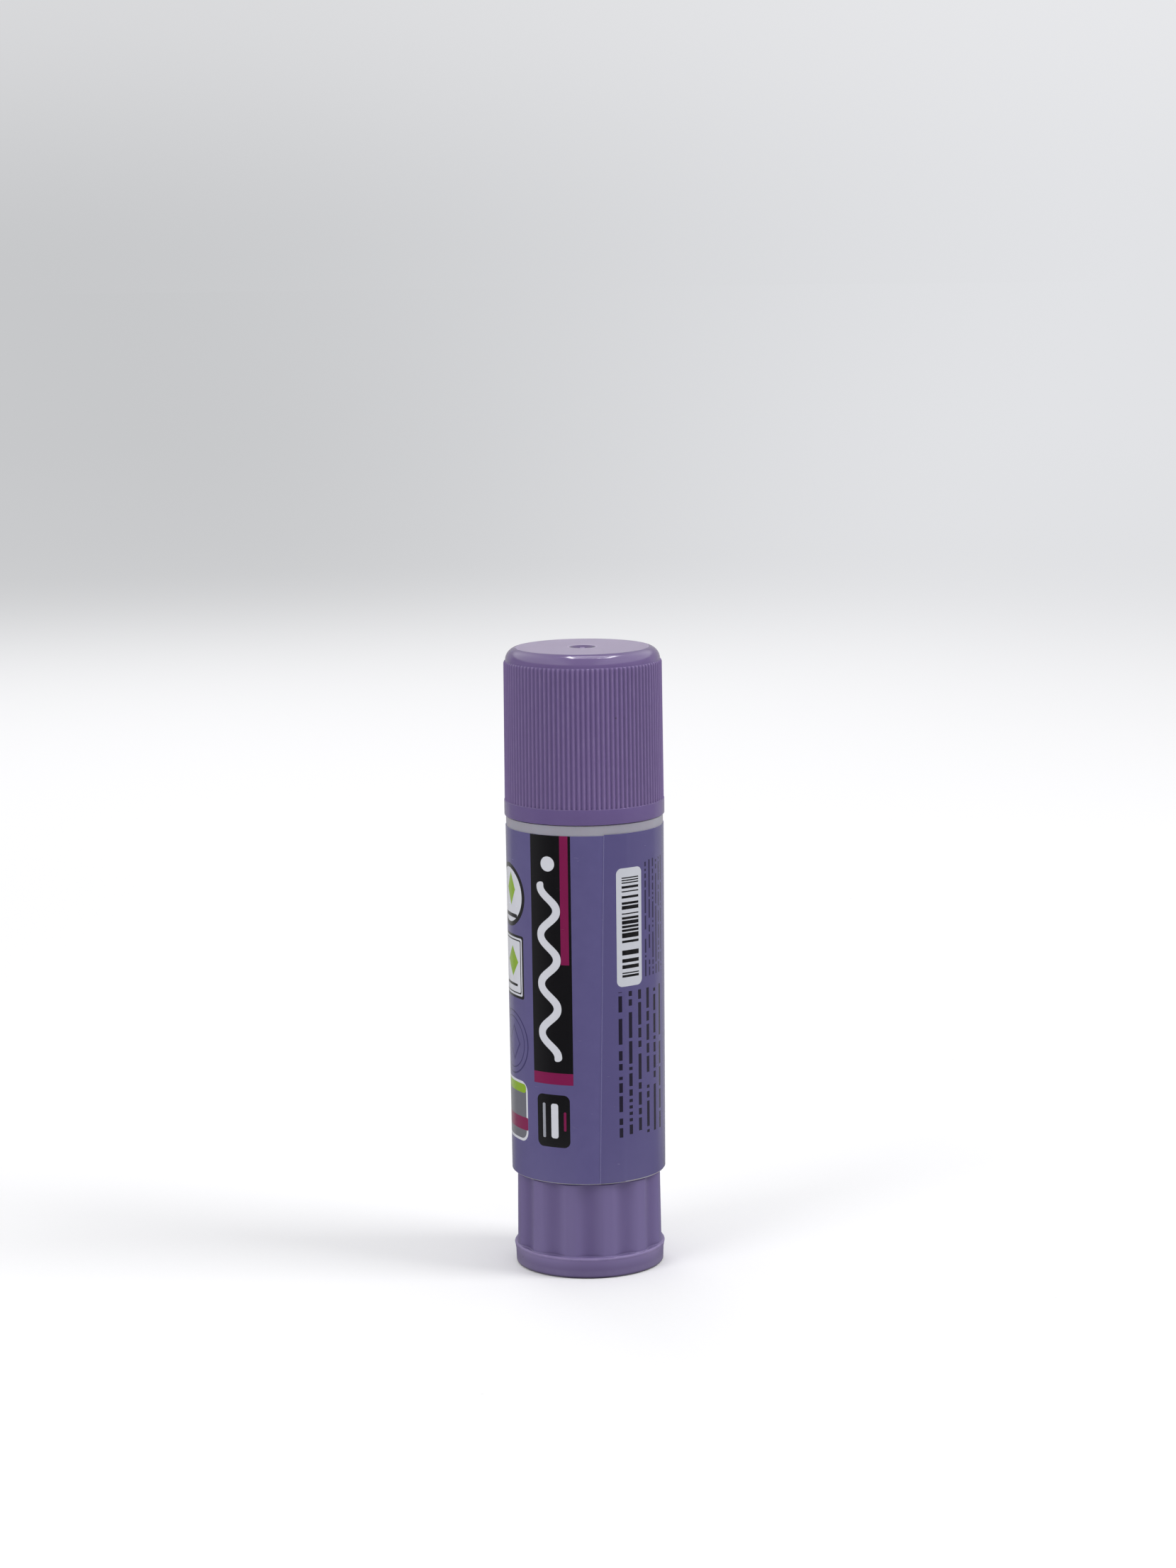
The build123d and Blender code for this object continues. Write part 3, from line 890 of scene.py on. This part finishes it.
def print_ground(art):
    """The mottled violet ground, a little darker beyond the seam, with the pale line of the cut edge."""
    mottle = art.speckle(scale=420, detail=4.0)
    art.tone = mottle.tint(colour(86, 80, 125), colour(93, 87, 132))
    up = (art.z - label_foot) / (label_top - label_foot)
    beyond = art.angle - ((up - 0.5) * (seam_slant / film_foot_radius) + seam_angle)
    before_back = 1 - art.angle.rise(2.4, 2.9)
    art.paint(colour(83, 77, 120), beyond.rise(-0.001, 0.001) * before_back, share=0.75)
    cut_edge = 1 - (abs(beyond) * print_radius).rise(0.02, 0.09)
    art.paint(colour(132, 128, 172), cut_edge * before_back, share=0.5)


def print_panel(art):
    """A black panel up to the film's edge, with a magenta stripe and foot, a wavy white line and a dot."""
    left, right, foot, over_top = -9.0, -2.2, 30.4, label_top / mm + 1.0
    panel = art.ink(art.box(left, right, foot, over_top))
    art.paint(black_ink, panel)
    art.fill(magenta_ink, art.box(left=-3.9, right=-2.6, foot=49.0, top=over_top))
    art.paint(magenta_ink, panel * art.ink(art.box(left, right, foot, top=32.2)))
    art.fill(white_ink, art.squiggle(centre=-5.9, foot=34.6, top=61.0, swing=1.35, waves=3.5, width=1.25))
    art.fill(white_ink, art.disc(centre=-5.9, level=64.4, radius=1.15))


def print_small_panel(art):
    """A small black panel with three upright bars."""
    art.fill(black_ink, art.box(left=-8.4, right=-2.8, foot=20.6, top=28.8, corner=1.0))
    art.fill(grey_ink, art.box(left=-7.4, right=-6.9, foot=22.0, top=27.4, corner=0.2))
    art.fill(white_ink, art.box(left=-5.9, right=-4.7, foot=22.0, top=27.4, corner=0.4))
    art.fill(magenta_ink, art.box(left=-3.8, right=-3.4, foot=23.2, top=26.2, corner=0.2))


def print_bar_code(art):
    """An invented bar code without digits on a pale block."""
    foot, top = 46.8, 62.2
    art.fill(colour(190, 192, 199), art.box(left=4.7, right=9.3, foot=45.4, top=63.6, corner=0.9))
    code = art.ink(art.box(left=5.6, right=8.7, foot=foot, top=top))
    art.paint(black_ink, code * art.bars(foot, pitch=0.19, seed=3.0, share=0.5))


def print_front_lines(art):
    """Small print in the form of dashes: fine beside the bar code, coarser below it."""
    fine = {"lines": 6, "first": 10.2, "spacing": 0.95, "width": 0.34, "pitch": 0.36}
    art.dashes(faint_line_ink, **fine, foot=46.4, top=64.4, seed=11.0)
    coarse = {"lines": 6, "first": 5.2, "spacing": 1.8, "width": 0.62, "pitch": 0.5}
    art.dashes(dark_line_ink, **coarse, foot=22.0, top=44.6, seed=5.0)


def print_back(art):
    """Plain motifs round the back: two blocks of dashes, a disc with a diamond, and a diamond in a frame."""
    coarse = {"lines": 5, "first": -33.5, "spacing": 1.8, "width": 0.62, "pitch": 0.5}
    art.dashes(dark_line_ink, **coarse, foot=22.0, top=44.6, seed=9.0)
    centre, level = -29.6, 56.5
    art.fill(white_ink, art.disc(centre, level, radius=4.3))
    art.line(black_ink, art.disc(centre, level, radius=3.7), half_width=0.12)
    art.fill(magenta_ink, art.diamond(centre, level, half_width=1.5, half_height=2.5))
    fine = {"lines": 4, "first": 20.4, "spacing": 1.4, "width": 0.45, "pitch": 0.42}
    art.dashes(faint_line_ink, **fine, foot=24.0, top=46.0, seed=17.0)
    centre = 22.5
    art.line(white_ink, art.diamond(centre, level, half_width=2.6, half_height=4.2), half_width=0.2)
    art.fill(green_ink, art.diamond(centre, level, half_width=1.0, half_height=1.7))


def print_round_badge(art):
    """A white disc in a black rim, with a green diamond over a bar."""
    centre, level = -15.4, 58.6
    art.fill(black_ink, art.disc(centre, level, radius=4.9))
    art.fill(white_ink, art.disc(centre, level, radius=4.2))
    art.fill(green_ink, art.diamond(centre=-14.6, level=59.6, half_width=1.5, half_height=2.6))
    art.fill(black_ink, art.box(left=-17.6, right=-12.6, foot=55.2, top=55.8, corner=0.2))


def print_framed_square(art):
    """A white square in a thick and a thin black frame, with a green diamond over a thin bar."""
    left, right, foot, top = -19.4, -11.0, 42.8, 52.6

    def square(inset, corner):
        return art.box(left + inset, right - inset, foot + inset, top - inset, corner)

    art.fill(black_ink, square(inset=0.0, corner=0.4))
    art.fill(white_ink, square(inset=0.4, corner=0.3))
    thin_frame = art.ink(square(inset=0.7, corner=0.3)) * (1 - art.ink(square(inset=0.9, corner=0.3)))
    art.paint(black_ink, thin_frame)
    art.fill(green_ink, art.diamond(centre=-14.4, level=48.4, half_width=1.9, half_height=2.4))
    art.fill(black_ink, art.box(left=-17.6, right=-12.8, foot=44.6, top=45.0, corner=0.1))


def print_double_ring(art):
    """Two thin rings round the outline of a diamond."""
    centre, level = -15.2, 35.7
    art.line(ring_ink, art.disc(centre, level, radius=4.9), half_width=0.12)
    art.line(ring_ink, art.disc(centre, level, radius=4.0), half_width=0.09)
    diamond = art.diamond(centre=-14.4, level=level, half_width=1.9, half_height=2.6)
    art.line(colour(62, 56, 104), diamond, half_width=0.16)


def print_tag(art):
    """A rounded grey tag in a white rim, with a green top and a magenta band."""
    left, right, foot, top, rim = -19.2, -10.6, 20.6, 30.0, 0.4
    art.fill(white_ink, art.box(left, right, foot, top, corner=1.6))
    art.fill(colour(104, 104, 112), art.box(left + rim, right - rim, foot + rim, top - rim, corner=1.3))
    art.fill(green_ink, art.box(left + rim, right - rim, foot=28.2, top=top - rim, corner=0.6))
    art.fill(magenta_ink, art.box(left, right, foot=22.4, top=24.4, corner=0.2))


def print_label(art):
    """All the label's artwork. The panels are there twice: on the front and further round to the left."""
    print_ground(art)
    for middle in (0.0, -38.0):
        art.move_to(middle)
        print_panel(art)
        print_small_panel(art)
    art.move_to(0.0)
    print_bar_code(art)
    print_front_lines(art)
    print_back(art)
    print_round_badge(art)
    print_framed_square(art)
    print_double_ring(art)
    print_tag(art)


def label_finish():
    """Printed film under a clear gloss, with faint ripples, hairlines and rubbed spots in the print."""
    made = Print("label_print")
    print_label(made)
    worn = made.speckle(scale=520, detail=4.0, roughness=0.65).rise(0.68, 0.78)
    rubbed = worn * made.specks(cells=260, share=0.2, size=0.3)
    made.paint(colour(150, 148, 176), rubbed, share=0.35)
    hairlines = made.scratches(along=1.0, around=0.2, scale=1500, level=0.7)
    ripples = made.speckle(scale=120, along=0.3)
    orange_peel = made.speckle(scale=2200)
    rough = 0.16 + ripples * 0.05 + hairlines * 0.1 + rubbed * 0.2
    height = ripples * 0.5 + orange_peel * 0.1 + hairlines * 0.03
    return made.surface(rough, Normal=made.bump(height, 0.012 * mm), IOR=film_ior)


def film_edge_finish():
    """The film's cut edge: unprinted and pale."""
    made = Finish("label_cut_edge")
    made.tone = made.speckle(scale=3000, detail=3.0).tint(colour(150, 146, 186), colour(178, 176, 206))
    return made.surface(0.4 + made.speckle(scale=5000) * 0.2, IOR=film_ior)


def dress_pieces():
    """Builds the replacing pieces and gives every shown piece its finish."""
    # The barrel's greyed tones are partly its own milky grey and partly painted shade from the cap over the
    # bare ring.
    white = white_plastic_finish("white_barrel_plastic", colour(146, 144, 155), colour(158, 156, 166))
    inner_white = white_plastic_finish("white_inner_plastic", colour(206, 205, 208), colour(218, 217, 219))
    build_cap().data.materials.append(cap_finish())
    build_knob().data.materials.append(knob_finish())
    build_glue().data.materials.append(glue_finish())
    label = build_label()
    label.data.materials.append(label_finish())
    label.data.materials.append(film_edge_finish())
    for name, finish in (("barrel", white), ("carrier", inner_white), ("spindle", inner_white)):
        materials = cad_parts[name].data.materials
        for i in range(len(materials)):
            materials[i] = finish


# Stage: white paper that runs out to the horizon, where it fades into the grey of the room
floor_radius = 6.0
fade_near = 0.38
fade_middle = 1.3
fade_far = 2.2
fade_middle_share = 0.75
paper_tone = (0.82, 0.82, 0.83, 1)
paper_lit_tone = (0.93, 0.93, 0.935, 1)
room_left, room_right = colour(199, 200, 202), colour(226, 227, 230)
room_level = (0.72, 0.72, 0.73, 1)

# What gloss shows of the room: the paper close to the foot, a wall behind, the ceiling and its window
sheet_near = 0.045
sheet_far = 0.11
wall_left, wall_right = radians(-44), radians(59)
front_level, side_level, wall_level = 0.05, 0.21, 0.2
ceiling_foot, ceiling_full = 0.3, 0.42
window_left, window_right, window_near, window_far = -0.16, 0.40, 0.02, 0.44
frame_across, frame_along = 0.05, 0.025
window_softness = 0.02
window_level = 26.0
pane_dimming = 0.93

# The photograph's camera, a little above the cap
camera_lens = 86.26
camera_place = (0.6 * mm, -566.9 * mm, 164.3 * mm)
camera_drop = radians(8.97)
camera_roll = radians(-0.72)
lamp_target = (0, 0, 50 * mm)


def backdrop(aside):
    """The grey of the room behind, darker to the left. Aside runs from -1 far left to 1 far right."""
    return aside.rise(-0.16, 0.16).tint(room_left, room_right)


def mirrored_room(x, y):
    """What gloss shows at the height of the table: a bright wall behind, dim sides and a dark front."""
    around = x.math("ARCTAN2", x, y)
    wall = around.within(wall_left, wall_right, radians(2))
    side = 1 - abs(around).rise(radians(90), radians(135))
    return front_level + side * side_level + wall * wall_level


def mirrored_floor(made):
    """What gloss shows below: the paper near the foot, brighter to the sides, and further off the room."""
    aside = made.start.math("ARCTAN2", abs(made.x), -made.y)
    sheet = 0.3 + aside.rise(radians(8), radians(28)) * 0.65 - aside.rise(radians(60), radians(110)) * 0.7
    near = 1 - made.radius.rise(sheet_near, sheet_far)
    return mirrored_room(made.x, made.y) * (1 - near * 0.7) + near * sheet * 0.6


def floor_finish():
    """Matt white paper with faint fibres and stray specks, which the camera sees a little brighter."""
    made = Finish("floor_paper")
    start = made.start
    seen = start.node("ShaderNodeLightPath", output="Is Camera Ray")
    gloss = start.node("ShaderNodeLightPath", output="Is Glossy Ray")
    fibres = made.speckle(scale=1600, detail=4.0, roughness=0.6)
    grit = made.specks(cells=130, share=0.05, size=0.035)
    made.tone = seen.tint(paper_tone, paper_lit_tone)
    made.paint(colour(170, 168, 166), fibres * 0.05 + grit * 0.2)
    paper = start.node("ShaderNodeBsdfDiffuse", (), {"Color": made.tone})
    far_paper = start.node("ShaderNodeEmission", (), {"Color": backdrop(made.x / made.radius)})
    fading = made.radius.rise(fade_near, fade_middle) * fade_middle_share
    fading = fading + made.radius.rise(fade_near, fade_far) * (1 - fade_middle_share)
    shader = start.node("ShaderNodeMixShader", (), {0: fading * seen, 1: paper, 2: far_paper})
    mirrored = start.node("ShaderNodeEmission", (), {"Strength": mirrored_floor(made)})
    shader = start.node("ShaderNodeMixShader", (), {0: gloss, 1: shader, 2: mirrored})
    start.node("ShaderNodeOutputMaterial", (), {"Surface": shader})
    return made.material


def build_floor():
    """The sheet of paper, which belongs to the stage and not to the object."""
    mesh = bmesh.new()
    bmesh.ops.create_circle(mesh, cap_ends=True, radius=floor_radius, segments=96)
    data = bpy.data.meshes.new("floor")
    mesh.to_mesh(data)
    mesh.free()
    data.materials.append(floor_finish())
    floor_piece = bpy.data.objects.new("floor", data)
    bpy.context.scene.collection.objects.link(floor_piece)


def mirrored_window(x, y, z):
    """The window overhead in the gloss: a bright frame round a dimmer pane."""
    rise = z.highest(0.05)
    across, along = x / rise, y / rise

    def opening(inset_across, inset_along):
        wide = across.within(window_left + inset_across, window_right - inset_across, window_softness)
        return wide * along.within(window_near + inset_along, window_far - inset_along, window_softness)

    return opening(0.0, 0.0) * (1 - opening(frame_across, frame_along) * pane_dimming)


def light_room():
    """The room: an even level on the object, with a window overhead for its gloss to show."""
    world = bpy.data.worlds.new("room")
    bpy.context.scene.world = world
    world.use_nodes = True
    world.node_tree.nodes.clear()
    start = Socket(world.node_tree)
    way = start.node("ShaderNodeTexCoord", output="Generated")
    x, y, z = (start.node("ShaderNodeSeparateXYZ", (), {0: way}, output=axis) for axis in "XYZ")
    seen = start.node("ShaderNodeLightPath", output="Is Camera Ray")
    gloss = start.node("ShaderNodeLightPath", output="Is Glossy Ray")
    ceiling = z.rise(ceiling_foot, ceiling_full)
    lit_ceiling = 0.55 + abs(x).rise(0.12, 0.5) * 0.95
    mirrored = mirrored_room(x, y) * (1 - ceiling) + ceiling * lit_ceiling
    mirrored = mirrored + mirrored_window(x, y, z) * window_level
    grey = start.node("ShaderNodeCombineColor", (), {0: mirrored, 1: mirrored, 2: mirrored})
    behind = (z.rise(-0.02, 0.06) * 0.4).tint(backdrop(x), colour(240, 240, 242))
    tone = seen.tint(gloss.tint(room_level, grey), behind)
    sky = start.node("ShaderNodeBackground", (), {"Color": tone})
    start.node("ShaderNodeOutputWorld", (), {"Surface": sky})


def add_softbox(name, place, width, depth, power):
    """A rectangular lamp that faces the object and lights it softly, without a glare of its own."""
    lamp = bpy.data.lights.new(name, "AREA")
    lamp.shape = "RECTANGLE"
    lamp.size, lamp.size_y, lamp.energy = width, depth, power
    softbox = bpy.data.objects.new(name, lamp)
    softbox.visible_glossy = False
    aim = Vector(lamp_target) - Vector(place)
    softbox.matrix_world = Matrix.Translation(place) @ aim.to_track_quat("-Z", "Y").to_matrix().to_4x4()
    bpy.context.scene.collection.objects.link(softbox)


def add_camera():
    """The photograph's camera: a little above the cap, looking slightly down, with a small tilt."""
    lens = bpy.data.cameras.new("camera")
    lens.lens = camera_lens
    camera = bpy.data.objects.new("camera", lens)
    camera.matrix_world = (
        Matrix.Translation(camera_place)
        @ Matrix.Rotation(radians(90) - camera_drop, 4, "X")
        @ Matrix.Rotation(camera_roll, 4, "Z")
    )
    bpy.context.scene.collection.objects.link(camera)
    bpy.context.scene.camera = camera


add_camera()
light_room()
add_softbox("key", place=(0.64, -0.17, 0.66), width=0.35, depth=0.35, power=3.2)
add_softbox("fill", place=(-0.5, -0.5, 0.66), width=0.35, depth=0.35, power=1.8)
add_softbox("back", place=(-0.2, 0.8, 0.5), width=0.5, depth=0.4, power=1.2)
build_floor()
dress_pieces()
bpy.context.scene.view_settings.view_transform = "Standard"
